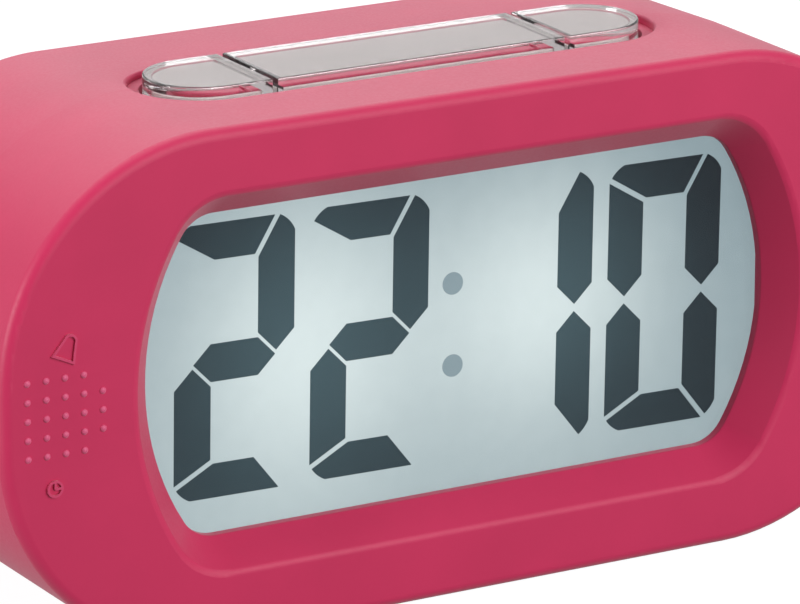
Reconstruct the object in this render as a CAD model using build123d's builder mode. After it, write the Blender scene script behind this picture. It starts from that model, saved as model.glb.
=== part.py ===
"""Digital alarm clock in a soft silicone sleeve, as an assembly of separate pieces.

Millimetres, +Z up, the display faces -Y. The origin is under the middle of the whole,
raised dots included.
"""

import os
from math import cos, radians, sin, sqrt

from build123d import *

os.makedirs("parts", exist_ok=True)

# Body, as it stands in front of the viewer
body_width = 140.0
body_height = 69.0
body_depth = 51.7
corner_share = 0.4464
front_edge_radius = 1.5
rear_edge_radius = 2.2
straight_depth = 23.7
rear_inset = 0.9

# Silicone sleeve
sleeve_wall = 2.2
sleeve_front = 6.0
sleeve_rear_lip = 5.0
slot_ledge_depth = 1.1

# Window in the sleeve: straight top and bottom, sides that bulge outwards
window_side_frame = 22.8
window_top_frame = 12.65
window_side_share = 0.84
window_corner_radius = 5.4
window_rise = 0.28
window_lip = 1.2
window_lip_radius = 0.4
bevel_reach = 3.7
bevel_edge_radius = 1.2

# Hard inner case
case_wall = 2.0
case_front = 2.4
split_margin = 0.55
cover_plateau = 1.4
slip_gap = 0.15
face_gap = 0.3

# Display stack
lens_corner_radius = 3.0
lens_thickness = 0.9
lens_gap = 0.1
lens_overlap = 1.4
lens_ledge = 0.8
ledge_thickness = 0.4
lcd_thickness = 2.0
lcd_overlap = 3.0
segment_film = 0.1
diffuser_thickness = 1.5
diffuser_overlap = 0.6
holder_wall = 3.2
holder_depth = 8.0
holder_step = 2.6
holder_screw_inset = 17.25
zebra_thickness = 1.6
board_thickness = 1.6

# Numerals
digit_side_margin = 5.1
digit_top_margin = 2.87
digit_rise = 0.8
digit_roll = 0.86
digit_gap = 1.8
digit_colon_room = 7.0
digit_stroke_share = 0.3304
digit_bar_share = 0.307
digit_base_share = 0.292
digit_waist_share = 0.288
digit_waist_drop = 0.22
digit_corner_share = 0.24
digit_left_mitre_share = 0.111
digit_top_mitre_share = 0.147
digit_base_mitre_share = 0.094
segment_gap = 0.72
waist_gap = 0.45
colon_size_share = 0.168
colon_pitch_share = 0.3

# Top keys
key_end_distance = 2.28
key_row_depth = 15.2
key_row_distance = 22.65
key_split_share = 0.603
key_gap = 0.8
key_proud = 1.1
key_cap_height = 2.4
key_wall = 1.2
key_roof = 1.55
key_edge_radius = 0.25
key_flange_reach = 1.2
key_flange_height = 1.0
key_flange_inset = 1.5
key_clearance = 0.3
key_travel = 0.5
key_slot_margin = 2.1
key_slot_gap = 0.5
key_slot_edge_radius = 0.4
insert_drop = 0.25
insert_plate = 0.8
insert_gap = 0.05
insert_stem = 4.0

# Tactile switches
switch_side = 6.0
switch_height = 3.5
plunger_diameter = 3.4
plunger_proud = 1.0
plunger_sunk = 1.2
plunger_clearance = 0.05
snooze_switch_share = 0.54

# Dot pad on the front, at the left of the window
dot_columns = 4
dot_rows = 5
dot_extra_rows = 3
dot_pitch_x = 2.68
dot_pitch_z = 2.52
dot_edge_distance = 3.5
dot_radius = 0.5
dot_height = 0.3
pad_margin_x = 1.25
pad_margin_z = 0.75
pad_thickness = 2.0
web_width = 0.8
web_thickness = 0.8

# Raised signs above and below the dots
sign_height = 0.3
sign_line = 0.32
bell_gap = 1.7
bell_shift = 1.75
bell_height = 3.6
bell_mouth = 3.6
bell_waist = 2.5
bell_crown = 1.8
bell_shoulder = 1.3
bell_tilt = -24.0
clock_sign_radius = 1.15
clock_sign_gap = 2.0
clock_sign_shift = -0.35

# Set key behind the dot pad
set_key_head = 7.0
set_key_head_depth = 2.0
set_key_corner_radius = 1.2
set_key_stem = 5.0
set_key_flange = 7.6
set_key_flange_thickness = 1.0

# Boards
key_board_front_gap = 1.4
key_board_end = 4.0
key_post_radius = 1.9
key_post_gap = 4.4
rear_post_share = 0.81
header_length = 20.0
header_size = 2.5
tongue_margin = 1.5
led_size = 3.0
led_height = 1.2
led_count = 2
led_share = 0.373
chip_radius = 7.0
chip_height = 1.8
crystal_radius = 1.5
crystal_length = 8.0
capacitor_radius = 3.0
capacitor_height = 7.0
capacitor_pitch = 9.0
capacitor_count = 2

# Fasteners
board_screw_radius = 1.0
board_screw_head = 1.8
board_screw_head_height = 1.2
board_screw_bite = 1.6
case_screw_radius = 1.25
case_screw_head = 2.5
case_screw_head_height = 1.8
case_screw_bite = 8.0
case_screw_bore = 2.8
screw_clearance = 0.1
screw_boss_radius = 3.0
screw_side_distance = 12.5
screw_rise = 10.5

# Battery bay, for three small round cells side by side
cell_radius = 5.25
cell_length = 44.5
cell_nub_radius = 1.9
cell_nub_length = 1.2
cell_pitch = 11.2
contact_thickness = 0.4
contact_side = 8.0
leaf_reach = 2.6
leaf_width = 4.0
bay_wall = 4.0
bay_floor = 1.6
door_thickness = 2.2
door_overlap = 2.6
door_corner_radius = 2.0
door_grip_ribs = 3
door_grip_pitch = 2.4
door_grip_length = 12.0
door_grip_height = 0.5
lead_radius = 0.6
lead_side = 20.0

# Sounder behind the rear cover
buzzer_thickness = 4.0
buzzer_clearance = 1.725
buzzer_ring_wall = 1.4
sound_hole_radius = 0.8
sound_hole_share = 0.45
sound_hole_count = 6

# Places worked out from the sizes above
front_y = (dot_height - body_depth) / 2
rear_y = front_y + body_depth
middle_z = body_height / 2
corner_radius = corner_share * body_height
taper_y = front_y + straight_depth
core_front = front_y + sleeve_front
core_rear = rear_y - sleeve_wall
case_top = body_height - sleeve_wall
ceiling_z = case_top - case_wall
case_inset = sleeve_wall + case_wall
inside_case = case_inset + face_gap
lip_y = core_front - window_lip
window_half_width = body_width / 2 - window_side_frame
window_half_height = middle_z - window_top_frame
window_side_radius = 2 * window_half_height * window_side_share

lens_front = core_front + lens_gap
lens_rear = lens_front + lens_thickness
lcd_front = lens_rear + ledge_thickness
lcd_rear = lcd_front + lcd_thickness
wall_rear = core_front + case_front
diffuser_rear = lcd_rear + diffuser_thickness
board_front = wall_rear + holder_depth
board_rear = board_front + board_thickness
lens_half_width = window_half_width + lens_overlap
lens_half_height = window_half_height + lens_overlap
lcd_half_width = window_half_width + lcd_overlap
lcd_half_height = window_half_height + lcd_overlap
diffuser_half_width = lcd_half_width
diffuser_half_height = window_half_height + diffuser_overlap
cavity_half_width = lcd_half_width + slip_gap
cavity_half_height = lcd_half_height + slip_gap
holder_half_width = cavity_half_width + holder_wall
holder_half_height = cavity_half_height + holder_wall
led_pitch = 2 * window_half_width * led_share

digit_outer_edge = window_half_width - digit_side_margin
digit_height = 2 * (window_half_height - digit_top_margin)
digit_width = (digit_outer_edge - digit_gap - digit_colon_room / 2) / 2
digit_pitch = digit_width + digit_gap
digit_stroke = digit_width * digit_stroke_share
digit_bar = digit_width * digit_bar_share
digit_base = digit_width * digit_base_share
digit_waist = digit_width * digit_waist_share
digit_corner_radius = digit_width * digit_corner_share
digit_left_mitre = digit_width * digit_left_mitre_share
digit_top_mitre = digit_width * digit_top_mitre_share
digit_base_mitre = digit_width * digit_base_mitre_share
colon_radius = digit_width * colon_size_share / 2
colon_pitch = digit_height * colon_pitch_share

key_row_y = front_y + key_row_distance
key_half_length = body_width / 2 - corner_radius - key_end_distance
key_row_length = 2 * key_half_length
key_split = key_row_length * key_split_share
key_half_depth = key_row_depth / 2
key_top = body_height + key_proud
roof_underside = key_top - key_roof
cap_bottom = key_top - key_cap_height
insert_top = roof_underside - insert_drop
shoulder_z = cap_bottom - insert_gap
flange_top = ceiling_z - face_gap
flange_bottom = flange_top - key_flange_height
board_top_z = flange_bottom - plunger_proud - switch_height
side_key_x = (key_half_length + key_split / 2) / 2
snooze_switch_x = key_split / 2 * snooze_switch_share
key_post_x = key_half_length + key_post_gap
rear_post_x = key_split / 2 * rear_post_share
key_post_y = key_row_y + key_half_depth + key_flange_reach + face_gap + key_post_radius
key_board_width = 2 * (key_post_x + key_board_end)
key_board_front = board_rear + key_board_front_gap
key_board_depth = key_post_y + key_post_radius - key_board_front
key_board_y = key_board_front + key_board_depth / 2
split_y = key_post_y + key_post_radius + split_margin

dot_left = -body_width / 2 + dot_edge_distance
dot_right = dot_left + dot_columns * dot_pitch_x
dot_half_height = (dot_rows - 1) * dot_pitch_z / 2
pad_left = dot_left + dot_pitch_x / 2 + web_width / 2
pad_right = dot_right + pad_margin_x
pad_width = pad_right - pad_left
pad_height = 2 * (dot_half_height + pad_margin_z)
pad_x = (pad_left + pad_right) / 2
pad_rear = front_y + pad_thickness
set_flange_front = wall_rear + face_gap
set_plunger_tip = board_front - switch_height - plunger_proud
dot_middle_x = dot_left + (dot_columns - 1) * dot_pitch_x / 2
bell_x = dot_middle_x + bell_shift
clock_sign_x = dot_middle_x + clock_sign_shift

back_face = core_rear + cover_plateau
door_seat = back_face - door_thickness
cell_y = door_seat - face_gap - cell_radius
bay_bottom = cell_y - cell_radius - slip_gap
bay_front = bay_bottom - bay_floor
bay_half_length = (cell_length + 2 * contact_thickness + leaf_reach) / 2
bay_half_height = cell_pitch + cell_radius + face_gap
door_half_length = bay_half_length + door_overlap
door_half_height = bay_half_height + door_overlap / 2
cell_shift = bay_half_length - contact_thickness - cell_length / 2
cover_inner = core_rear - case_wall
screw_x = body_width / 2 - screw_side_distance
bay_end = bay_half_length + bay_wall
buzzer_room = screw_x - screw_boss_radius - bay_end
buzzer_x = bay_end + buzzer_room / 2
buzzer_radius = buzzer_room / 2 - buzzer_ring_wall - slip_gap - buzzer_clearance
sound_hole_circle = buzzer_radius * sound_hole_share


def at_depth(y):
    """Upright plane at depth y, seen from the front: X to the right, Z up."""
    return Plane.XZ.offset(-y)


def body_outline(y, inset):
    """Outline of the body with its large round corners, drawn in by inset.

    Behind the straight part the sides and the top draw in a little more, and the underside stays level.
    """
    draft = rear_inset * max(0, y - taper_y) / (rear_y - taper_y)
    width = body_width - 2 * inset - 2 * draft
    height = body_height - 2 * inset - draft
    with BuildSketch(at_depth(y)) as outline:
        with Locations((0, middle_z - draft / 2)):
            RectangleRounded(width, height, corner_radius - inset - draft)
    return outline.sketch


def body_block(front, rear, inset, mode=Mode.ADD):
    """Block of the body: straight behind the front face, then drawing in to the rear."""
    extrude(body_outline(front, inset), amount=-(taper_y - front), mode=mode)
    loft([body_outline(taper_y, inset), body_outline(rear, inset)], ruled=True, mode=mode)


def window_outline(y, spread):
    """Outline of the window, spread outwards by the same amount all round."""
    half_height = window_half_height + spread
    side_radius = window_side_radius + spread
    side_x = window_half_width + spread
    corner_x = side_x - side_radius + sqrt(side_radius**2 - half_height**2)
    level = middle_z + window_rise
    with BuildSketch(at_depth(y)) as outline:
        with BuildLine():
            top = Line((-corner_x, level + half_height), (corner_x, level + half_height))
            right = ThreePointArc(top @ 1, (side_x, level), (corner_x, level - half_height))
            bottom = Line(right @ 1, (-corner_x, level - half_height))
            ThreePointArc(bottom @ 1, (-side_x, level), top @ 0)
        make_face()
        fillet(outline.vertices(), window_corner_radius + spread)
    return outline.sketch


def panel_outline(y, half_width, half_height, x=0, radius=0):
    """Upright rectangle about the body's middle height, with round corners where asked."""
    with BuildSketch(at_depth(y)) as outline:
        with Locations((x, middle_z)):
            if radius > 0:
                RectangleRounded(2 * half_width, 2 * half_height, radius)
            else:
                Rectangle(2 * half_width, 2 * half_height)
    return outline.sketch


def key_row_outline(z, spread):
    """Level stadium outline of the whole row of keys."""
    with BuildSketch(Plane.XY.offset(z)) as outline:
        with Locations((0, key_row_y)):
            SlotOverall(key_row_length + 2 * spread, key_row_depth + 2 * spread)
    return outline.sketch


def on_slot_rim(edge):
    """True for an edge along the top rim of the sleeve's key slot."""
    middle = edge.center()
    inside = abs(middle.X) < key_half_length + key_slot_margin + slip_gap
    return inside and middle.Z > body_height - slot_ledge_depth / 2


def on_window_lip(edge):
    """True for an edge where the window's sloping wall meets its lip."""
    box = edge.bounding_box()
    return abs(box.min.Y - lip_y) < slip_gap and abs(box.max.Y - lip_y) < slip_gap


def key_zone(name, cut):
    """Low and high X of one key in the row, with cut taken off where it meets a neighbour."""
    edge = key_split / 2 + cut
    reach = key_half_length + key_slot_margin
    return {
        "hour": (-reach, -edge),
        "snooze": (-key_split / 2 + cut, key_split / 2 - cut),
        "minute": (edge, reach),
    }[name]


def key_outline(z, name, inset):
    """Level outline of one key: its share of the row's stadium, drawn in by inset."""
    low, high = key_zone(name, key_gap / 2 + inset)
    with BuildSketch(Plane.XY.offset(z)) as outline:
        with Locations((0, key_row_y)):
            SlotOverall(key_row_length - 2 * inset, key_row_depth - 2 * inset)
        with Locations(((low + high) / 2, key_row_y)):
            Rectangle(high - low, key_row_depth, mode=Mode.INTERSECT)
    return outline.sketch


def dot_places(first, last):
    """Places of the raised dots in columns first to last, as (x, z)."""
    places = []
    for column in range(first, last + 1):
        rows = dot_rows if column < dot_columns else dot_extra_rows
        x = dot_left + column * dot_pitch_x
        places += [(x, middle_z + (row - (rows - 1) / 2) * dot_pitch_z) for row in range(rows)]
    return places


def add_dots(places):
    """Low domes standing on the front face."""
    ball = (dot_radius**2 + dot_height**2) / (2 * dot_height)
    with Locations(*[(x, front_y + ball - dot_height, z) for x, z in places]):
        Sphere(ball)


def add_screws(tips, direction, shank, length, head, head_height):
    """Screws with their heads on the given points, driven along the given direction."""
    for tip in tips:
        with BuildSketch(Plane(origin=tip, z_dir=direction)) as stem:
            Circle(shank)
        extrude(stem.sketch, amount=length)
        with BuildSketch(Plane(origin=tip, z_dir=direction)) as cap:
            Circle(head)
        extrude(cap.sketch, amount=-head_height)


def save(builder, name):
    """Labels a finished piece and writes it."""
    builder.part.label = name
    export_step(builder.part, f"parts/{name}.step")


# Silicone sleeve
with BuildPart() as sleeve:
    body_block(front_y, rear_y, 0)
    loft(
        [window_outline(front_y, bevel_reach), window_outline(lip_y, 0)],
        ruled=True,
        mode=Mode.SUBTRACT,
    )
    extrude(window_outline(lip_y, 0), amount=-window_lip, mode=Mode.SUBTRACT)
    fillet(sleeve.edges().filter_by(on_window_lip), window_lip_radius)
    front_face = sleeve.faces().sort_by(Axis.Y)[0]
    fillet(front_face.outer_wire().edges(), front_edge_radius)
    front_face = sleeve.faces().sort_by(Axis.Y)[0]
    fillet(front_face.inner_wires()[0].edges(), bevel_edge_radius)
    fillet(sleeve.faces().sort_by(Axis.Y)[-1].edges(), rear_edge_radius)
    body_block(core_front, core_rear, sleeve_wall, mode=Mode.SUBTRACT)
    extrude(
        body_outline(core_rear, sleeve_wall + sleeve_rear_lip),
        amount=-2 * sleeve_wall,
        mode=Mode.SUBTRACT,
    )
    extrude(
        key_row_outline(body_height - slot_ledge_depth, key_slot_margin),
        amount=slot_ledge_depth,
        mode=Mode.SUBTRACT,
    )
    slot_edges = sleeve.edges(Select.LAST).filter_by(on_slot_rim)
    fillet(slot_edges, key_slot_edge_radius)
    extrude(
        key_row_outline(ceiling_z, key_slot_gap),
        amount=body_height - ceiling_z,
        mode=Mode.SUBTRACT,
    )
    web_half_width = pad_width / 2 + web_width
    web_half_height = pad_height / 2 + web_width
    extrude(
        panel_outline(front_y, web_half_width, web_half_height, pad_x),
        amount=-sleeve_front,
        mode=Mode.SUBTRACT,
    )
    add_dots(dot_places(0, 0))
    # Raised bell above the dots, drawn with one even line
    bell_z = middle_z + dot_half_height + dot_radius + bell_gap + bell_height / 2
    bell_side = (cos(radians(bell_tilt)), 0, sin(radians(bell_tilt)))
    with BuildSketch(Plane((bell_x, front_y, bell_z), x_dir=bell_side, z_dir=(0, -1, 0))) as bell:
        with BuildLine():
            crown = ThreePointArc(
                (-bell_crown / 2, bell_shoulder),
                (0, bell_height / 2),
                (bell_crown / 2, bell_shoulder),
            )
            flank = ThreePointArc(crown @ 1, (bell_waist / 2, 0), (bell_mouth / 2, -bell_height / 2))
            rim = Line(flank @ 1, (-bell_mouth / 2, -bell_height / 2))
            ThreePointArc(rim @ 1, (-bell_waist / 2, 0), crown @ 0)
        make_face()
        offset(amount=-sign_line, kind=Kind.INTERSECTION, mode=Mode.SUBTRACT)
    extrude(bell.sketch, amount=sign_height)
    # Raised clock face below the dots: a ring and two hands
    clock_z = middle_z - dot_half_height - dot_radius - web_width - clock_sign_gap - clock_sign_radius
    with BuildSketch(at_depth(front_y)) as clock_sign:
        with Locations((clock_sign_x, clock_z)):
            Circle(clock_sign_radius)
            Circle(clock_sign_radius - sign_line, mode=Mode.SUBTRACT)
        hand = clock_sign_radius - sign_line
        with Locations((clock_sign_x, clock_z + hand / 2)):
            Rectangle(sign_line, hand)
        with Locations((clock_sign_x + hand / 2, clock_z)):
            Rectangle(hand, sign_line)
    extrude(clock_sign.sketch, amount=sign_height)
save(sleeve, "silicone_sleeve")

# Soft web that lets the dot pad sink
with BuildPart() as web:
    extrude(
        panel_outline(front_y, web_half_width, web_half_height, pad_x),
        amount=-web_thickness,
    )
    extrude(
        panel_outline(front_y, pad_width / 2, pad_height / 2, pad_x),
        amount=-web_thickness,
        mode=Mode.SUBTRACT,
    )
save(web, "set_web")

# Dot pad
with BuildPart() as pad:
    extrude(
        panel_outline(front_y, pad_width / 2, pad_height / 2, pad_x),
        amount=-pad_thickness,
    )
    add_dots(dot_places(1, dot_columns))
save(pad, "set_pad")

# Hard set key behind the dot pad, held by a flange inside the case
with BuildPart() as set_key:
    extrude(
        panel_outline(pad_rear, set_key_head / 2, set_key_head / 2, pad_x, set_key_corner_radius),
        amount=-set_key_head_depth,
    )
    with BuildSketch(at_depth(pad_rear)) as stem:
        with Locations((pad_x, middle_z)):
            Circle(set_key_stem / 2)
    extrude(stem.sketch, amount=-(set_plunger_tip - pad_rear))
    with BuildSketch(at_depth(set_flange_front)) as collar:
        with Locations((pad_x, middle_z)):
            Circle(set_key_flange / 2)
    extrude(collar.sketch, amount=-set_key_flange_thickness)
save(set_key, "set_key")

# Places of the screws and posts
quadrants = [(x, z) for x in (-1, 1) for z in (-1, 1)]
holder_screw_x = holder_half_width - holder_screw_inset
holder_screw_z = cavity_half_height + holder_wall / 2
case_screw_places = [(x * screw_x, middle_z + z * screw_rise) for x, z in quadrants]
holder_screw_places = [(x * holder_screw_x, middle_z + z * holder_screw_z) for x, z in quadrants]
key_post_places = [(-key_post_x, key_row_y), (key_post_x, key_row_y)]
key_post_places += [(-rear_post_x, key_post_y), (rear_post_x, key_post_y)]

# Front half of the hard case
with BuildPart() as front_case:
    body_block(core_front, core_rear, sleeve_wall)
    body_block(wall_rear, core_rear, case_inset, mode=Mode.SUBTRACT)
    split(bisect_by=at_depth(split_y), keep=Keep.TOP)
    seat_half_width = lens_half_width + slip_gap
    seat_half_height = lens_half_height + slip_gap
    extrude(
        panel_outline(core_front, seat_half_width, seat_half_height, radius=lens_corner_radius),
        amount=-(lens_rear - core_front),
        mode=Mode.SUBTRACT,
    )
    extrude(
        panel_outline(lens_rear, lens_half_width - lens_ledge, lens_half_height - lens_ledge),
        amount=-case_front,
        mode=Mode.SUBTRACT,
    )
    extrude(
        panel_outline(lcd_front, cavity_half_width, cavity_half_height),
        amount=-case_front,
        mode=Mode.SUBTRACT,
    )
    extrude(
        key_row_outline(flange_bottom, key_clearance),
        amount=case_top - flange_bottom,
        mode=Mode.SUBTRACT,
    )
    with BuildSketch(at_depth(core_front)) as set_key_hole:
        with Locations((pad_x, middle_z)):
            Circle(set_key_stem / 2 + slip_gap)
    extrude(set_key_hole.sketch, amount=-case_front, mode=Mode.SUBTRACT)
    with BuildSketch(at_depth(wall_rear)) as bosses:
        with Locations(*case_screw_places):
            Circle(screw_boss_radius)
    extrude(bosses.sketch, amount=-(split_y - wall_rear))
    with BuildSketch(at_depth(split_y)) as pilots:
        with Locations(*case_screw_places):
            Circle(case_screw_radius + screw_clearance)
    extrude(pilots.sketch, amount=case_screw_bite + face_gap, mode=Mode.SUBTRACT)
    with BuildSketch(at_depth(wall_rear)) as holder_pilots:
        with Locations(*holder_screw_places):
            Circle(board_screw_radius + screw_clearance)
    extrude(holder_pilots.sketch, amount=board_screw_bite + slip_gap, mode=Mode.SUBTRACT)
    with BuildSketch(Plane.XY.offset(ceiling_z)) as key_posts:
        with Locations(*key_post_places):
            Circle(key_post_radius)
    extrude(key_posts.sketch, amount=-(ceiling_z - board_top_z))
    with BuildSketch(Plane.XY.offset(board_top_z)) as post_pilots:
        with Locations(*key_post_places):
            Circle(board_screw_radius + screw_clearance)
    extrude(post_pilots.sketch, amount=board_screw_bite + face_gap, mode=Mode.SUBTRACT)
save(front_case, "front_case")

# Rear half of the hard case, with the battery bay and the sound holes
with BuildPart() as rear_cover:
    body_block(core_front, core_rear, sleeve_wall)
    body_block(wall_rear, cover_inner, case_inset, mode=Mode.SUBTRACT)
    split(bisect_by=at_depth(split_y), keep=Keep.BOTTOM)
    extrude(body_outline(core_rear, sleeve_wall + sleeve_rear_lip + face_gap), amount=-cover_plateau)
    extrude(
        panel_outline(bay_front, bay_half_length + bay_wall, bay_half_height + bay_wall),
        amount=-(cover_inner - bay_front),
    )
    with BuildSketch(at_depth(split_y)) as cover_posts:
        with Locations(*case_screw_places):
            Circle(screw_boss_radius)
    extrude(cover_posts.sketch, amount=-(cover_inner - split_y))
    with BuildSketch(at_depth(cover_inner)) as ring:
        with Locations((buzzer_x, middle_z)):
            Circle(buzzer_radius + slip_gap + buzzer_ring_wall)
            Circle(buzzer_radius + slip_gap, mode=Mode.SUBTRACT)
    extrude(ring.sketch, amount=buzzer_thickness)
    extrude(
        panel_outline(bay_bottom, bay_half_length, bay_half_height),
        amount=-(back_face - bay_bottom),
        mode=Mode.SUBTRACT,
    )
    recess_half_length = door_half_length + slip_gap
    recess_half_height = door_half_height + slip_gap
    extrude(
        panel_outline(door_seat, recess_half_length, recess_half_height, radius=door_corner_radius),
        amount=-door_thickness,
        mode=Mode.SUBTRACT,
    )
    with BuildSketch(at_depth(split_y)) as screw_holes:
        with Locations(*case_screw_places):
            Circle(case_screw_radius + screw_clearance)
    extrude(screw_holes.sketch, amount=-(back_face - split_y), mode=Mode.SUBTRACT)
    with BuildSketch(at_depth(back_face)) as head_wells:
        with Locations(*case_screw_places):
            Circle(case_screw_head + slip_gap)
    extrude(head_wells.sketch, amount=case_screw_bore, mode=Mode.SUBTRACT)
    with BuildSketch(at_depth(back_face)) as sound_holes:
        with Locations((buzzer_x, middle_z)):
            Circle(sound_hole_radius)
            with PolarLocations(sound_hole_circle, sound_hole_count):
                Circle(sound_hole_radius)
    extrude(sound_holes.sketch, amount=2 * case_wall, mode=Mode.SUBTRACT)
save(rear_cover, "rear_cover")

# Battery door, a flush lid with a ribbed grip
with BuildPart() as battery_door:
    door_radius = door_corner_radius - slip_gap
    extrude(
        panel_outline(door_seat, door_half_length, door_half_height, radius=door_radius),
        amount=-door_thickness,
    )
    grip_x = door_half_length - door_grip_ribs * door_grip_pitch
    with BuildSketch(at_depth(back_face)) as grip:
        with Locations((grip_x, middle_z)):
            with GridLocations(door_grip_pitch, 0, door_grip_ribs, 1):
                Rectangle(door_grip_pitch / 2, door_grip_length)
    extrude(grip.sketch, amount=-door_grip_height)
save(battery_door, "battery_door")

# Clear lens let into the front of the case
with BuildPart() as lens:
    lens_radius = lens_corner_radius - slip_gap
    extrude(
        panel_outline(lens_front, lens_half_width, lens_half_height, radius=lens_radius),
        amount=-lens_thickness,
    )
save(lens, "display_lens")

# Display glass, the light sheet behind it and the frame that holds them
with BuildPart() as lcd_panel:
    extrude(panel_outline(lcd_front, lcd_half_width, lcd_half_height), amount=-lcd_thickness)
save(lcd_panel, "lcd_panel")

with BuildPart() as diffuser:
    extrude(
        panel_outline(lcd_rear, diffuser_half_width, diffuser_half_height),
        amount=-diffuser_thickness,
    )
save(diffuser, "light_diffuser")

with BuildPart() as holder:
    extrude(panel_outline(wall_rear, holder_half_width, holder_half_height), amount=-holder_depth)
    extrude(body_outline(wall_rear, inside_case), amount=-holder_depth, mode=Mode.INTERSECT)
    extrude(
        panel_outline(wall_rear, cavity_half_width, cavity_half_height),
        amount=-holder_depth,
        mode=Mode.SUBTRACT,
    )
    step_x = cavity_half_width - holder_step / 2
    for side in (-1, 1):
        extrude(
            panel_outline(diffuser_rear, holder_step / 2, cavity_half_height, side * step_x),
            amount=-(board_front - diffuser_rear),
        )
    with BuildSketch(at_depth(wall_rear)) as holder_holes:
        with Locations(*holder_screw_places):
            Circle(board_screw_radius + screw_clearance)
    extrude(holder_holes.sketch, amount=-holder_depth, mode=Mode.SUBTRACT)
save(holder, "lcd_holder")

# Rubber contact strips from the glass to the board, above and below the light sheet
strip_z = diffuser_half_height + slip_gap + zebra_thickness / 2
strip_half_length = cavity_half_width - holder_step - face_gap
with BuildPart() as strips:
    with BuildSketch(at_depth(lcd_rear)) as strip_ends:
        with Locations((0, middle_z + strip_z), (0, middle_z - strip_z)):
            Rectangle(2 * strip_half_length, zebra_thickness)
    extrude(strip_ends.sketch, amount=-(board_front - lcd_rear))
save(strips, "contact_strips")

# Numerals: seven mitred bars with the outer corners rounded
digit_middle = middle_z + digit_rise
digit_segments = {"0": "abcdef", "1": "bc", "2": "abdeg"}
digit_places = {
    "hour_tens": (-digit_outer_edge, "2"),
    "hour_units": (-digit_outer_edge + digit_pitch, "2"),
    "minute_tens": (digit_outer_edge - digit_pitch - digit_width, "1"),
    "minute_units": (digit_outer_edge - digit_width, "0"),
}


def bar_corners(letter, left):
    """Corners of one bar of a numeral whose left edge is at left."""
    right = left + digit_width
    top = digit_middle + digit_height / 2
    bottom = digit_middle - digit_height / 2
    waist = digit_middle - digit_waist_drop
    half = digit_stroke / 2
    thin = digit_waist / 2
    inner_left, inner_right = left + digit_stroke, right - digit_stroke
    inner_top, inner_bottom = top - digit_bar, bottom + digit_base
    waist_high, waist_low = waist + half, waist - half
    mitre_high, mitre_low = top - digit_left_mitre, bottom + digit_left_mitre
    top_mitre, base_mitre = right - digit_top_mitre, right - digit_base_mitre
    tip_left, tip_right = left + half, right - half
    return {
        "a": [(left, top), (top_mitre, top), (inner_right, inner_top), (inner_left, inner_top),
              (left, mitre_high)],
        "b": [(top_mitre, top), (right, top), (right, waist_high), (tip_right, waist),
              (inner_right, waist_high), (inner_right, inner_top)],
        "c": [(right, waist_low), (right, bottom), (base_mitre, bottom), (inner_right, inner_bottom),
              (inner_right, waist_low), (tip_right, waist)],
        "d": [(inner_left, inner_bottom), (inner_right, inner_bottom), (base_mitre, bottom), (left, bottom),
              (left, mitre_low)],
        "e": [(left, mitre_low), (inner_left, inner_bottom), (inner_left, waist_low), (tip_left, waist),
              (left, waist_low)],
        "f": [(left, mitre_high), (left, waist_high), (tip_left, waist), (inner_left, waist_high),
              (inner_left, inner_top)],
        "g": [(tip_left, waist), (tip_left + thin, waist + thin), (tip_right - thin, waist + thin),
              (tip_right, waist), (tip_right - thin, waist - thin), (tip_left + thin, waist - thin)],
    }[letter]


with BuildPart() as digits:
    for left_edge, numeral in digit_places.values():
        for letter in digit_segments[numeral]:
            inset = waist_gap - segment_gap / 2 if letter == "g" else segment_gap / 2
            with BuildSketch(at_depth(lcd_front)) as bar:
                with BuildLine():
                    Polyline(*bar_corners(letter, left_edge), close=True)
                make_face()
                offset(amount=-inset, kind=Kind.INTERSECTION, mode=Mode.REPLACE)
                with Locations((left_edge + digit_width / 2, digit_middle)):
                    RectangleRounded(digit_width, digit_height, digit_corner_radius, mode=Mode.INTERSECT)
            extrude(bar.sketch, amount=segment_film)
    # They stand at a slight roll behind the window
    digits.part = digits.part.rotate(Axis((0, lcd_front, digit_middle), (0, 1, 0)), digit_roll)
save(digits, "lcd_digits")

with BuildPart() as colon:
    with BuildSketch(at_depth(lcd_front)) as colon_dots:
        with Locations((0, digit_middle)):
            with GridLocations(0, colon_pitch, 1, 2):
                Circle(colon_radius)
    extrude(colon_dots.sketch, amount=segment_film)
save(colon, "lcd_colon")

# Main board with a tongue that carries the set switch
tongue_end = pad_x - switch_side / 2 - tongue_margin
with BuildPart() as main_board:
    extrude(panel_outline(board_front, holder_half_width, holder_half_height), amount=-board_thickness)
    extrude(body_outline(board_front, inside_case), amount=-board_thickness, mode=Mode.INTERSECT)
    tongue_half = (-holder_half_width - tongue_end) / 2
    extrude(
        panel_outline(board_front, tongue_half, switch_side, tongue_end + tongue_half),
        amount=-board_thickness,
    )
    with BuildSketch(at_depth(board_front)) as board_holes:
        with Locations(*holder_screw_places):
            Circle(board_screw_radius + screw_clearance)
    extrude(board_holes.sketch, amount=-board_thickness, mode=Mode.SUBTRACT)
save(main_board, "main_board")

with BuildPart() as leds:
    with BuildSketch(at_depth(board_front)) as led_pads:
        with Locations((0, middle_z)):
            with GridLocations(led_pitch, 0, led_count, 1):
                Rectangle(led_size, led_size)
    extrude(led_pads.sketch, amount=led_height)
save(leds, "backlight_leds")

with BuildPart() as chip:
    dome = (chip_radius**2 + chip_height**2) / (2 * chip_height)
    with Locations((-holder_half_width / 2, board_rear + chip_height - dome, middle_z)):
        Sphere(dome)
    split(bisect_by=at_depth(board_rear), keep=Keep.BOTTOM)
save(chip, "driver_chip")

with BuildPart() as crystal:
    with Locations((0, board_rear + crystal_radius, middle_z - chip_radius)):
        Cylinder(crystal_radius, crystal_length, rotation=(0, 90, 0))
save(crystal, "timing_crystal")

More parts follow.
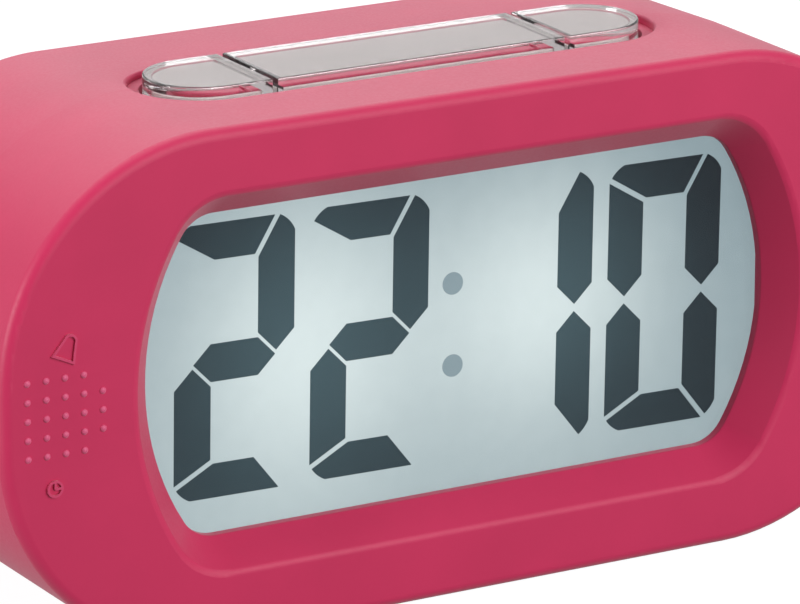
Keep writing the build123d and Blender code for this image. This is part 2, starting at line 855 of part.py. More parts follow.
with BuildPart() as capacitors:
    with BuildSketch(at_depth(board_rear)) as capacitor_feet:
        with Locations((holder_half_width / 2, middle_z)):
            with GridLocations(capacitor_pitch, 0, capacitor_count, 1):
                Circle(capacitor_radius)
    extrude(capacitor_feet.sketch, amount=-capacitor_height)
save(capacitors, "capacitors")

with BuildPart() as board_screws:
    add_screws(
        [(x, board_rear, z) for x, z in holder_screw_places],
        (0, -1, 0),
        board_screw_radius,
        board_thickness + holder_depth + board_screw_bite,
        board_screw_head,
        board_screw_head_height,
    )
save(board_screws, "board_screws")

# Board under the keys, its screws and its link to the main board
key_board_bottom = board_top_z - board_thickness
with BuildPart() as key_board:
    with BuildSketch(Plane.XY.offset(board_top_z)) as key_board_shape:
        with Locations((0, key_board_y)):
            Rectangle(key_board_width, key_board_depth)
        with Locations(*key_post_places):
            Circle(board_screw_radius + screw_clearance, mode=Mode.SUBTRACT)
    extrude(key_board_shape.sketch, amount=-board_thickness)
save(key_board, "key_board")

with BuildPart() as key_board_screws:
    add_screws(
        [(x, y, key_board_bottom) for x, y in key_post_places],
        (0, 0, 1),
        board_screw_radius,
        board_thickness + board_screw_bite,
        board_screw_head,
        board_screw_head_height,
    )
save(key_board_screws, "key_board_screws")

header_depth = key_board_front_gap + header_size
with BuildPart() as header:
    with Locations((0, board_rear + header_depth / 2, key_board_bottom - header_size / 2)):
        Box(header_length, header_depth, header_size)
save(header, "board_link")

# Tactile switches: a square housing with a bore for its plunger
key_switch_places = {
    "hour": [(-side_key_x, key_row_y)],
    "snooze": [(-snooze_switch_x, key_row_y), (snooze_switch_x, key_row_y)],
    "minute": [(side_key_x, key_row_y)],
}
plunger_length = plunger_proud + plunger_sunk
plunger_bore = plunger_sunk + key_travel + slip_gap
with BuildPart() as key_switches:
    for places in key_switch_places.values():
        with BuildSketch(Plane.XY.offset(board_top_z)) as housings:
            with Locations(*places):
                Rectangle(switch_side, switch_side)
        extrude(housings.sketch, amount=switch_height)
        with BuildSketch(Plane.XY.offset(board_top_z + switch_height)) as bores:
            with Locations(*places):
                Circle(plunger_diameter / 2 + plunger_clearance)
        extrude(bores.sketch, amount=-plunger_bore, mode=Mode.SUBTRACT)
save(key_switches, "key_switches")

with BuildPart() as set_switch:
    extrude(panel_outline(board_front, switch_side / 2, switch_side / 2, pad_x), amount=switch_height)
    with BuildSketch(at_depth(board_front - switch_height)) as set_bore:
        with Locations((pad_x, middle_z)):
            Circle(plunger_diameter / 2 + plunger_clearance)
    extrude(set_bore.sketch, amount=-plunger_bore, mode=Mode.SUBTRACT)
save(set_switch, "set_switch")

with BuildPart() as set_plunger:
    with BuildSketch(at_depth(set_plunger_tip)) as set_plunger_end:
        with Locations((pad_x, middle_z)):
            Circle(plunger_diameter / 2)
    extrude(set_plunger_end.sketch, amount=-plunger_length)
save(set_plunger, "set_plunger")

# Clear caps, the pale inserts that carry them and the plungers that they press
key_pieces = {
    "hour": ("hour_key", "hour_insert", "hour_plunger"),
    "snooze": ("snooze_bar", "snooze_insert", "snooze_plungers"),
    "minute": ("minute_key", "minute_insert", "minute_plunger"),
}
key_straight = key_half_length - key_half_depth
for key, (cap_name, insert_name, plunger_name) in key_pieces.items():
    with BuildPart() as cap:
        extrude(key_outline(cap_bottom, key, 0), amount=key_cap_height)
        fillet(cap.faces().sort_by(Axis.Z)[-1].edges(), key_edge_radius)
        extrude(
            key_outline(cap_bottom, key, key_wall),
            amount=roof_underside - cap_bottom,
            mode=Mode.SUBTRACT,
        )
    save(cap, cap_name)

    with BuildPart() as insert:
        extrude(key_outline(flange_bottom, key, 0), amount=shoulder_z - flange_bottom)
        extrude(key_outline(shoulder_z, key, key_wall + slip_gap), amount=insert_top - shoulder_z)
        low, high = key_zone(key, key_gap / 2 + key_flange_inset)
        low, high = max(low, -key_straight), min(high, key_straight)
        with BuildSketch(Plane.XY.offset(flange_bottom)) as flange:
            with Locations(((low + high) / 2, key_row_y)):
                Rectangle(high - low, key_row_depth + 2 * key_flange_reach)
        extrude(flange.sketch, amount=key_flange_height)
        hollow_height = shoulder_z - insert_plate - flange_bottom
        extrude(key_outline(flange_bottom, key, key_wall), amount=hollow_height, mode=Mode.SUBTRACT)
        with BuildSketch(Plane.XY.offset(flange_bottom)) as stems:
            with Locations(*key_switch_places[key]):
                Circle(insert_stem / 2)
        extrude(stems.sketch, amount=hollow_height)
    save(insert, insert_name)

    with BuildPart() as plunger:
        with BuildSketch(Plane.XY.offset(flange_bottom)) as plunger_tops:
            with Locations(*key_switch_places[key]):
                Circle(plunger_diameter / 2)
        extrude(plunger_tops.sketch, amount=-plunger_length)
    save(plunger, plunger_name)

# Screws that close the case from behind
with BuildPart() as case_screws:
    head_seat = back_face - case_screw_bore
    add_screws(
        [(x, head_seat, z) for x, z in case_screw_places],
        (0, -1, 0),
        case_screw_radius,
        head_seat - split_y + case_screw_bite,
        case_screw_head,
        case_screw_head_height,
    )
save(case_screws, "case_screws")

# Cells, laid alternately end for end, with their contacts
cell_rows = [(row, 1 if row % 2 == 0 else -1) for row in (-1, 0, 1)]
with BuildPart() as cells:
    for row, way in cell_rows:
        cell_z = middle_z + row * cell_pitch
        with Locations((way * (cell_shift - cell_nub_length / 2), cell_y, cell_z)):
            Cylinder(cell_radius, cell_length - cell_nub_length, rotation=(0, 90, 0))
        with Locations((way * (cell_shift + (cell_length - cell_nub_length) / 2), cell_y, cell_z)):
            Cylinder(cell_nub_radius, cell_nub_length, rotation=(0, 90, 0))
save(cells, "battery_cells")

with BuildPart() as plate_contacts:
    for row, way in cell_rows:
        plate_x = way * (bay_half_length - contact_thickness / 2)
        with Locations((plate_x, cell_y, middle_z + row * cell_pitch)):
            Box(contact_thickness, contact_side, contact_side)
save(plate_contacts, "plate_contacts")

with BuildPart() as leaf_contacts:
    for row, way in cell_rows:
        leaf_z = middle_z + row * cell_pitch
        wall_x = -way * bay_half_length
        with Locations((wall_x + way * contact_thickness / 2, cell_y, leaf_z)):
            Box(contact_thickness, contact_side, contact_side)
        with BuildSketch(Plane.XY.offset(leaf_z - leaf_width / 2)) as leaf:
            with BuildLine():
                arch = ThreePointArc(
                    (wall_x, cell_y - contact_side / 2),
                    (wall_x + way * (leaf_reach + contact_thickness), cell_y),
                    (wall_x, cell_y + contact_side / 2),
                )
                inner_arch = ThreePointArc(
                    arch @ 1 - (0, contact_thickness),
                    (wall_x + way * leaf_reach, cell_y),
                    arch @ 0 + (0, contact_thickness),
                )
                Line(arch @ 1, inner_arch @ 0)
                Line(inner_arch @ 1, arch @ 0)
            make_face()
        extrude(leaf.sketch, amount=leaf_width)
save(leaf_contacts, "leaf_contacts")

# Wires from the battery bay to the main board
for name, side in (("lead_positive", 1), ("lead_negative", -1)):
    with BuildPart() as lead:
        with BuildSketch(at_depth(board_rear)) as lead_end:
            with Locations((side * lead_side, middle_z - cell_pitch)):
                Circle(lead_radius)
        extrude(lead_end.sketch, amount=-(bay_front - board_rear))
    save(lead, name)

# Sounder in its ring behind the holes
with BuildPart() as buzzer:
    with BuildSketch(at_depth(cover_inner)) as buzzer_face:
        with Locations((buzzer_x, middle_z)):
            Circle(buzzer_radius)
    extrude(buzzer_face.sketch, amount=buzzer_thickness)
save(buzzer, "buzzer")
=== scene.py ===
"""Bedside alarm clock in a silicone sleeve: its finishes, the web round its dot pad, and the studio."""

import logging
from dataclasses import dataclass, field
from enum import Enum
from math import radians
from typing import Mapping, Sequence, Union

import bmesh
import bpy
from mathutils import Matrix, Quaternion, Vector


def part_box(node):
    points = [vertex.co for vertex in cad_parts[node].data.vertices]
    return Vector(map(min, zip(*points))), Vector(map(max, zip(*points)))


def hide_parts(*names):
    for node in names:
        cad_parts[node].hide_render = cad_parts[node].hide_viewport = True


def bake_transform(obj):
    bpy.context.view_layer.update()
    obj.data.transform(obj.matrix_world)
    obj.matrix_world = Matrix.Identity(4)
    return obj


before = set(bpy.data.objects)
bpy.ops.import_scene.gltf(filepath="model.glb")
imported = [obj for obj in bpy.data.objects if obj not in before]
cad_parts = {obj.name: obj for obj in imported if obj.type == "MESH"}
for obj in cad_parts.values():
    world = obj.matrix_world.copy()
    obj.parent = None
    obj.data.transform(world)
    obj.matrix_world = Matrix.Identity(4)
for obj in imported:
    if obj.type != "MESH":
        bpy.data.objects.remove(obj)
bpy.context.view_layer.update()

MM = 0.001
IMAGE_WIDTH = 800
LOG = logging.getLogger("alarm_clock")

# The sRGB curve: straight below its knee, a power above it
SRGB_KNEE, SRGB_SLOPE, SRGB_OFFSET, SRGB_POWER = 0.04045, 12.92, 0.055, 2.4
FULL_CHANNEL = 255
# Most of a noise pattern's values lie between these two
NOISE_LOW, NOISE_HIGH = 0.3, 0.7
# Sockets of the Mix node when it mixes colours
MIX_FACTOR, MIX_FIRST, MIX_SECOND, MIX_RESULT = 0, 6, 7, 2

Feed = Union[float, Sequence[float], bpy.types.NodeSocket, bpy.types.Node]


def linear(hex_colour: str) -> tuple[float, float, float, float]:
    """Turns an sRGB hex colour into linear light.

    Args:
        hex_colour: a colour such as "#c93d61".

    Returns:
        Red, green, blue and a full alpha.
    """
    light = []
    for place in (1, 3, 5):
        share = int(hex_colour[place : place + 2], 16) / FULL_CHANNEL
        curved = ((share + SRGB_OFFSET) / (1 + SRGB_OFFSET)) ** SRGB_POWER
        light.append(share / SRGB_SLOPE if share <= SRGB_KNEE else curved)
    return (light[0], light[1], light[2], 1.0)


def add_node(
    tree: bpy.types.NodeTree,
    kind: str,
    feeds: Mapping[Union[int, str], Feed] | None = None,
    **settings: object,
) -> bpy.types.Node:
    """Adds one node with its settings, and feeds its sockets.

    Args:
        tree: the node tree that gets the node.
        kind: Blender's name for the node's type.
        feeds: a value, a socket or a node (its first output) for each socket, by name or place.
        settings: the node's own properties.

    Returns:
        The new node.
    """
    node = tree.nodes.new(kind)
    for name, value in settings.items():
        setattr(node, name, value)
    for key, value in (feeds or {}).items():
        if isinstance(value, bpy.types.Node):
            tree.links.new(value.outputs[0], node.inputs[key])
        elif isinstance(value, bpy.types.NodeSocket):
            tree.links.new(value, node.inputs[key])
        else:
            node.inputs[key].default_value = value
    return node


def per_mm(size_mm: float) -> float:
    """Scale of a pattern whose features are size_mm across, for coordinates in metres."""
    return 1 / (size_mm * MM)


@dataclass(frozen=True, kw_only=True)
class Finish:
    """A real material with the surface that its making gave it."""

    name: str
    slot: str
    colour: str
    roughness: float
    ior: float = 1.5

    def material(self) -> bpy.types.Material:
        """Makes this finish's material the first time, and gives the same one after that.

        Returns:
            The material.
        """
        made = bpy.data.materials.get(self.name)
        if made is None:
            made = bpy.data.materials.new(self.name)
            made.use_nodes = True
            tree = made.node_tree
            tree.nodes.clear()
            plain = {"Base Color": linear(self.colour), "Roughness": self.roughness, "IOR": self.ior}
            shader = add_node(tree, "ShaderNodeBsdfPrincipled", {**plain, **self.surface(tree)})
            add_node(tree, "ShaderNodeOutputMaterial", {"Surface": shader})
        return made

    def surface(self, tree: bpy.types.NodeTree) -> dict[str, Feed]:
        """Gives what this finish feeds to the shader's sockets.

        Args:
            tree: the material's node tree.

        Returns:
            Values and patterns by socket name.
        """
        raise NotImplementedError

    @staticmethod
    def clouds(
        tree: bpy.types.NodeTree,
        size_mm: float | Sequence[float],
        low: float = 0.0,
        high: float = 1.0,
        detail: float = 2.0,
    ) -> tuple[bpy.types.Node, bpy.types.Node]:
        """Lays a cloudy pattern through the piece in its own coordinates.

        Args:
            tree: the material's node tree.
            size_mm: how large its features are, one size or one along each axis.
            low: the value at its darker parts.
            high: the value at its lighter parts.
            detail: how many finer layers it has.

        Returns:
            The raw pattern, for relief, and the pattern stretched from low to high.
        """
        sizes = (size_mm,) * 3 if isinstance(size_mm, float) else size_mm
        scale = tuple(per_mm(size) for size in sizes)
        place = add_node(tree, "ShaderNodeTexCoord").outputs["Object"]
        scaled = add_node(tree, "ShaderNodeMapping", {"Vector": place, "Scale": scale})
        raw = add_node(tree, "ShaderNodeTexNoise", {"Vector": scaled, "Scale": 1.0, "Detail": detail})
        span = {"Value": raw, "From Min": NOISE_LOW, "From Max": NOISE_HIGH, "To Min": low, "To Max": high}
        return raw, add_node(tree, "ShaderNodeMapRange", span)


@dataclass(frozen=True, kw_only=True)
class Moulded(Finish):
    """A polymer as it leaves the mould: faint clouds in the colour, and the even grain of the tool."""

    shade: str
    cloud_mm: float = 9.0
    cloud_detail: float = 3.0
    grain_mm: float = 0.4
    grain_depth_mm: float = 0.006
    roughness_swing: float = 0.05
    sheen: float = 0.0

    def surface(self, tree: bpy.types.NodeTree) -> dict[str, Feed]:
        """Gives cloudy colour, uneven gloss and grain.

        Args:
            tree: the material's node tree.

        Returns:
            Values and patterns by socket name.
        """
        share = self.clouds(tree, self.cloud_mm, detail=self.cloud_detail)[1]
        colours = {MIX_FACTOR: share, MIX_FIRST: linear(self.colour), MIX_SECOND: linear(self.shade)}
        tint = add_node(tree, "ShaderNodeMix", colours, data_type="RGBA")
        low, high = self.roughness - self.roughness_swing, self.roughness + self.roughness_swing
        grain, gloss = self.clouds(tree, self.grain_mm, low, high)
        relief = {"Height": grain, "Distance": self.grain_depth_mm * MM}
        return {
            "Base Color": tint.outputs[MIX_RESULT],
            "Roughness": gloss,
            "Normal": add_node(tree, "ShaderNodeBump", relief),
            "Sheen Weight": self.sheen,
        }


@dataclass(frozen=True, kw_only=True)
class WornAndHighlitSkin(Moulded):
    """Silicone whose dots, raised from the flat face at face_mm, are paler, partly worn and partly a painted
    highlight, and its signs a little.
    """

    rubbed_and_highlit: str
    face_mm: float
    rise_mm: float = 0.15
    dots_middle_mm: float
    dots_half_mm: float
    sign_wear_and_highlight: float = 0.35

    def surface(self, tree: bpy.types.NodeTree) -> dict[str, Feed]:
        """Gives the moulded surface, paler where it stands proud of the face: partly wear, partly a painted
        highlight.

        Args:
            tree: the material's node tree.

        Returns:
            Values and patterns by socket name.
        """
        feeds = super().surface(tree)
        place = add_node(tree, "ShaderNodeTexCoord").outputs["Object"]
        depth, height = add_node(tree, "ShaderNodeSeparateXYZ", {"Vector": place}).outputs[1:]
        span = {"Value": depth, "From Min": self.face_mm * MM, "From Max": (self.face_mm - self.rise_mm) * MM}
        rise = add_node(tree, "ShaderNodeMapRange", span)
        rows = {0: height, 1: self.dots_middle_mm * MM, 2: self.dots_half_mm * MM}
        on_dots = add_node(tree, "ShaderNodeMath", rows, operation="COMPARE")
        wear = {0: on_dots, 1: 1 - self.sign_wear_and_highlight, 2: self.sign_wear_and_highlight}
        worn_and_highlit_share = add_node(tree, "ShaderNodeMath", wear, operation="MULTIPLY_ADD")
        share = add_node(tree, "ShaderNodeMath", {0: rise, 1: worn_and_highlit_share}, operation="MULTIPLY")
        # Raised dots, and the signs a little, mixed toward a paler pink: partly wear, partly a painted
        # highlight
        colours = {MIX_FACTOR: share, MIX_FIRST: feeds["Base Color"], MIX_SECOND: linear(self.rubbed_and_highlit)}
        tint = add_node(tree, "ShaderNodeMix", colours, data_type="RGBA")
        return {**feeds, "Base Color": tint.outputs[MIX_RESULT]}


@dataclass(frozen=True, kw_only=True)
class Clear(Finish):
    """A clear polymer, polished in the mould, with faint flow marks and handling marks."""

    clearness: float = 1.0
    flow_mm: float = 6.0
    flow_detail: float = 1.0
    flow_depth_mm: float = 0.01
    mark_mm: float = 0.6
    mark_detail: float = 4.0
    mark_spread: float = 2.0

    def surface(self, tree: bpy.types.NodeTree) -> dict[str, Feed]:
        """Gives transmission, a slightly wavy face and uneven polish.

        Args:
            tree: the material's node tree.

        Returns:
            Values and patterns by socket name.
        """
        flow = self.clouds(tree, self.flow_mm, detail=self.flow_detail)[0]
        low, high = self.roughness / self.mark_spread, self.roughness * self.mark_spread
        marks = self.clouds(tree, self.mark_mm, low, high, self.mark_detail)[1]
        relief = {"Height": flow, "Distance": self.flow_depth_mm * MM}
        return {
            "Transmission Weight": self.clearness,
            "Roughness": marks,
            "Normal": add_node(tree, "ShaderNodeBump", relief),
        }


@dataclass(frozen=True)
class Glow:
    """A patch of light on the display, where a lamp stands behind it."""

    x_mm: float
    z_mm: float
    reach_x_mm: float
    reach_z_mm: float
    strength: float

    def light(self, tree: bpy.types.NodeTree, x: Feed, z: Feed) -> bpy.types.Node:
        """Adds the patch's light at each point.

        Args:
            tree: the material's node tree.
            x: the point's place from left to right, in metres.
            z: the point's height, in metres.

        Returns:
            The node that gives the light.
        """
        squares = []
        for place, middle, reach in ((x, self.x_mm, self.reach_x_mm), (z, self.z_mm, self.reach_z_mm)):
            shift = {0: place, 1: per_mm(reach), 2: -middle / reach}
            away = add_node(tree, "ShaderNodeMath", shift, operation="MULTIPLY_ADD")
            squares.append(add_node(tree, "ShaderNodeMath", {0: away, 1: away}, operation="MULTIPLY"))
        both = add_node(tree, "ShaderNodeMath", {0: squares[0], 1: squares[1]}, operation="ADD")
        fall = add_node(tree, "ShaderNodeMath", {0: both, 1: -1.0}, operation="MULTIPLY")
        share = add_node(tree, "ShaderNodeMath", {0: fall}, operation="EXPONENT")
        return add_node(tree, "ShaderNodeMath", {0: share, 1: self.strength}, operation="MULTIPLY")


@dataclass(frozen=True, kw_only=True)
class Backlit(Finish):
    """A layer of the display with two lamps behind it: bright by the lamps, duller to the edges."""

    bright: str
    dim: str
    glows: tuple[Glow, ...]
    level: float
    falls_per_m: tuple[float, float]
    mottle_mm: float = 3.0
    mottle: float = 0.02

    def surface(self, tree: bpy.types.NodeTree) -> dict[str, Feed]:
        """Gives the light that comes through, faintly mottled by the light sheet.

        Args:
            tree: the material's node tree.

        Returns:
            Values and patterns by socket name.
        """
        place = add_node(tree, "ShaderNodeTexCoord").outputs["Object"]
        split = add_node(tree, "ShaderNodeSeparateXYZ", {"Vector": place})
        x, z = split.outputs["X"], split.outputs["Z"]
        low, high = self.level - self.mottle, self.level + self.mottle
        total = self.clouds(tree, self.mottle_mm, low, high)[1]
        for axis, fall in zip((x, z), self.falls_per_m):
            total = add_node(tree, "ShaderNodeMath", {0: axis, 1: fall, 2: total}, operation="MULTIPLY_ADD")
        for glow in self.glows:
            light = glow.light(tree, x, z)
            total = add_node(tree, "ShaderNodeMath", {0: total, 1: light}, operation="ADD")
        colours = {MIX_FACTOR: total, MIX_FIRST: linear(self.dim), MIX_SECOND: linear(self.bright)}
        shown = add_node(tree, "ShaderNodeMix", colours, data_type="RGBA")
        return {
            "Emission Color": shown.outputs[MIX_RESULT],
            "Emission Strength": 1.0,
            "Specular IOR Level": 0.0,
        }


@dataclass(frozen=True, kw_only=True)
class Metal(Finish):
    """A plated or drawn metal, with fine lines along one axis."""

    lines_mm: tuple[float, float, float] = (2.0, 0.15, 0.15)
    line_detail: float = 3.0
    line_depth_mm: float = 0.003
    roughness_swing: float = 0.08

    def surface(self, tree: bpy.types.NodeTree) -> dict[str, Feed]:
        """Gives a bare metal with drawn lines.

        Args:
            tree: the material's node tree.

        Returns:
            Values and patterns by socket name.
        """
        low, high = self.roughness - self.roughness_swing, self.roughness + self.roughness_swing
        lines, gloss = self.clouds(tree, self.lines_mm, low, high, self.line_detail)
        relief = {"Height": lines, "Distance": self.line_depth_mm * MM}
        return {
            "Metallic": 1.0,
            "Roughness": gloss,
            "Normal": add_node(tree, "ShaderNodeBump", relief),
        }


@dataclass(frozen=True, kw_only=True)
class Laminate(Finish):
    """Glass-fibre laminate under green lacquer, where the copper tracks show as paler lines."""

    track: str
    cell_mm: float = 7.0
    track_mm: float = 0.5
    track_height_mm: float = 0.04
    upright_deg: float = 90.0

    def surface(self, tree: bpy.types.NodeTree) -> dict[str, Feed]:
        """Gives lacquer with raised tracks, laid out on an upright board.

        Args:
            tree: the material's node tree.

        Returns:
            Values and patterns by socket name.
        """
        place = add_node(tree, "ShaderNodeTexCoord").outputs["Object"]
        turn = {"Vector": place, "Rotation": (radians(self.upright_deg), 0.0, 0.0)}
        feeds = {
            "Vector": add_node(tree, "ShaderNodeMapping", turn),
            "Color1": linear(self.colour),
            "Color2": linear(self.colour),
            "Mortar": linear(self.track),
            "Scale": per_mm(self.cell_mm),
            "Mortar Size": self.track_mm / self.cell_mm / 2,
        }
        tracks = add_node(tree, "ShaderNodeTexBrick", feeds)
        relief = {"Height": tracks.outputs["Fac"], "Distance": self.track_height_mm * MM}
        return {
            "Base Color": tracks.outputs["Color"],
            "Normal": add_node(tree, "ShaderNodeBump", relief),
        }


@dataclass(frozen=True, kw_only=True)
class CellJacket(Finish):
    """Shrink film on a round cell: dark, with a copper band at the plus end and a bare steel cap."""

    band: str
    cap: str
    middle_mm: float
    pitch_mm: float
    band_mm: float = 12.0
    cap_mm: float = 21.5
    crease_mm: float = 4.0
    crease_depth_mm: float = 0.02

    def surface(self, tree: bpy.types.NodeTree) -> dict[str, Feed]:
        """Gives each row's zones, with the middle row turned end for end and the last zone, the cap, bare.

        Args:
            tree: the material's node tree.

        Returns:
            Values and patterns by socket name.
        """
        place = add_node(tree, "ShaderNodeTexCoord").outputs["Object"]
        split = add_node(tree, "ShaderNodeSeparateXYZ", {"Vector": place})
        row = {0: split.outputs["Z"], 1: self.middle_mm * MM, 2: self.pitch_mm * MM / 2}
        in_middle = add_node(tree, "ShaderNodeMath", row, operation="COMPARE")
        # One in the middle row, and minus one in the others
        way = add_node(tree, "ShaderNodeMath", {0: in_middle, 1: 2.0, 2: -1.0}, operation="MULTIPLY_ADD")
        along = add_node(tree, "ShaderNodeMath", {0: split.outputs["X"], 1: way}, operation="MULTIPLY")
        shown: Feed = linear(self.colour)
        for start, colour in ((self.band_mm, self.band), (self.cap_mm, self.cap)):
            past = add_node(tree, "ShaderNodeMath", {0: along, 1: start * MM}, operation="GREATER_THAN")
            colours = {MIX_FACTOR: past, MIX_FIRST: shown, MIX_SECOND: linear(colour)}
            shown = add_node(tree, "ShaderNodeMix", colours, data_type="RGBA").outputs[MIX_RESULT]
        creases = self.clouds(tree, self.crease_mm)[0]
        relief = {"Height": creases, "Distance": self.crease_depth_mm * MM}
        return {
            "Base Color": shown,
            "Metallic": past,
            "Normal": add_node(tree, "ShaderNodeBump", relief),
        }


# Silicone rubber, moulded in a blasted tool: matt, deep colour, with a pale bloom at flat angles
SILICONE = WornAndHighlitSkin(
    name="silicone_matt_pink",
    slot="pink_silicone",
    colour="#cf275a",
    shade="#c82456",
    # Paler pink of the raised dots and signs: partly wear, partly a painted highlight
    rubbed_and_highlit="#de5a83",
    face_mm=-25.72,
    dots_middle_mm=34.5,
    dots_half_mm=6.0,
    roughness=0.5,
    ior=1.41,
    cloud_mm=14.0,
    sheen=0.25,
)
# ABS case, moulded in the same colour: a little glossier than the sleeve
CASE_ABS = Moulded(
    name="abs_satin_pink",
    slot="pink_case_plastic",
    colour="#cc2a58",
    shade="#c52654",
    roughness=0.36,
    ior=1.52,
)
# Acrylic keys, moulded in a polished tool: clear and glossy, a little smoky
KEY_ACRYLIC = Clear(
    name="acrylic_smoky",
    slot="clear_acrylic",
    colour="#faf6f7",
    clearness=0.985,
    roughness=0.03,
    ior=1.49,
)
# Acrylic lens, coated: clear, with most of the glare taken off it
LENS_ACRYLIC = Clear(
    name="acrylic_coated",
    slot="clear_acrylic",
    colour="#fbfcfc",
    roughness=0.04,
    ior=1.2,
    flow_depth_mm=0.002,
)
# Polystyrene inserts, moulded: off-white and matt
INSERT = Moulded(
    name="polystyrene_pale",
    slot="pale_insert_plastic",
    colour="#f4f2ef",
    shade="#edebe7",
    roughness=0.5,
)
# The patches of light of the two lamps, the level between them, and how it falls per metre along x and z
GLOWS = (
    Glow(x_mm=-22.7, z_mm=36.8, reach_x_mm=17.3, reach_z_mm=20.2, strength=0.87),
    Glow(x_mm=14.3, z_mm=37.3, reach_x_mm=18.3, reach_z_mm=17.8, strength=0.89),
)
LEVEL = 0.28
FALLS = (-1.54, -5.4)
# Display glass over the light sheet: pale, cool, lit from behind
PANEL = Backlit(
    name="display_glass_lit",
    slot="display_glass",
    colour="#20262a",
    roughness=0.3,
    bright="#dde9e9",
    dim="#8fa0a6",
    glows=GLOWS,
    level=LEVEL,
    falls_per_m=FALLS,
)
# Dark segments: they let a little of the light through
SEGMENTS = Backlit(
    name="display_segment_dark",
    slot="display_segments",
    colour="#0c0f11",
    roughness=0.4,
    bright="#455a61",
    dim="#1b2228",
    glows=GLOWS,
    level=LEVEL,
    falls_per_m=FALLS,
)
# The colon at half contrast, as it blinks
COLON = Backlit(
    name="display_colon_half",
    slot="display_colon",
    colour="#14191c",
    roughness=0.4,
    bright="#98abb2",
    dim="#6d7e85",
    glows=GLOWS,
    level=LEVEL,
    falls_per_m=FALLS,
)
# Opal acrylic light sheet, moulded: milky white with a soft gloss
OPAL = Moulded(name="acrylic_opal", slot="opal_plastic", colour="#eceeec", shade="#e2e6e4", roughness=0.45)
# ABS, moulded uncoloured: warm white and satin
WHITE_ABS = Moulded(name="abs_white", slot="white_plastic", colour="#e6e4de", shade="#dedbd4", roughness=0.42)
# Contact rubber, pressed from thin layers: grey with fine darker bands, dull
STRIP_RUBBER = Moulded(
    name="contact_rubber_grey",
    slot="contact_rubber",
    colour="#5a5c60",
    shade="#3c3e42",
    roughness=0.7,
    cloud_mm=0.6,
)
# Glass-fibre laminate, lacquered: deep green with paler raised lines
BOARD = Laminate(
    name="laminate_green_lacquer",
    slot="circuit_board",
    colour="#1f5a36",
    track="#3d8a56",
    roughness=0.35,
)
# Resin over the small lamps, cast: pale yellow and glossy
LED_RESIN = Moulded(
    name="led_resin_pale",
    slot="led_resin",
    colour="#f0ecd2",
    shade="#e6dfba",
    roughness=0.25,
)
# Epoxy, poured over the chip: black and glossy, slightly wavy
EPOXY = Moulded(
    name="epoxy_black_blob",
    slot="black_epoxy",
    colour="#141414",
    shade="#1c1c1c",
    roughness=0.3,
    grain_mm=1.2,
)
# Nickel-plated cans, drawn: bright, with fine lines
CAN = Metal(name="nickel_bright_can", slot="bright_can", colour="#c9c9c6", roughness=0.28)
# Steel screws, zinc plated: grey and finely uneven
SCREW_STEEL = Metal(
    name="steel_zinc_plated",
    slot="screw_steel",
    colour="#b4b4b0",
    roughness=0.32,
    lines_mm=(0.2, 0.2, 0.2),
)
# Nylon, moulded: black and satin
BLACK_NYLON = Moulded(
    name="nylon_black",
    slot="black_plastic",
    colour="#1d1d1f",
    shade="#262629",
    roughness=0.5,
)
# Acetal pins, moulded uncoloured: off-white and waxy
PLUNGER = Moulded(
    name="acetal_natural",
    slot="plunger_plastic",
    colour="#dcd8cc",
    shade="#d3cec0",
    roughness=0.4,
)
# Spring strip, nickel plated: bright, with lines along the strip
SPRING_STEEL = Metal(name="nickel_plated_strip", slot="contact_metal", colour="#cfcdc6", roughness=0.24)
# Vinyl on the leads, extruded: plain red or black, satin
RED_WIRE = Moulded(name="vinyl_red", slot="red_wire", colour="#b5161c", shade="#a31218", roughness=0.4)
BLACK_WIRE = Moulded(name="vinyl_black", slot="black_wire", colour="#161617", shade="#202022", roughness=0.4)


@dataclass
class SubAssembly:
    """Pieces of the clock that are made and finished together."""

    finishes: Mapping[str, Finish] = field(default_factory=dict)

    def build(self) -> None:
        """Adds the pieces that only the looks need; most sub-assemblies have none."""

    def dress(self) -> None:
        """Gives each of the frame's nodes its finish."""
        for node, finish in self.finishes.items():
            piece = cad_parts[node]
            piece.data.materials.clear()
            piece.data.materials.append(finish.material())
            LOG.info("%s: %s", node, finish.name)


class Side(Enum):
    """The four sides of the dot pad, as the direction from the pad outwards."""

    LEFT = (-1, 0)
    RIGHT = (1, 0)
    BELOW = (0, -1)
    ABOVE = (0, 1)


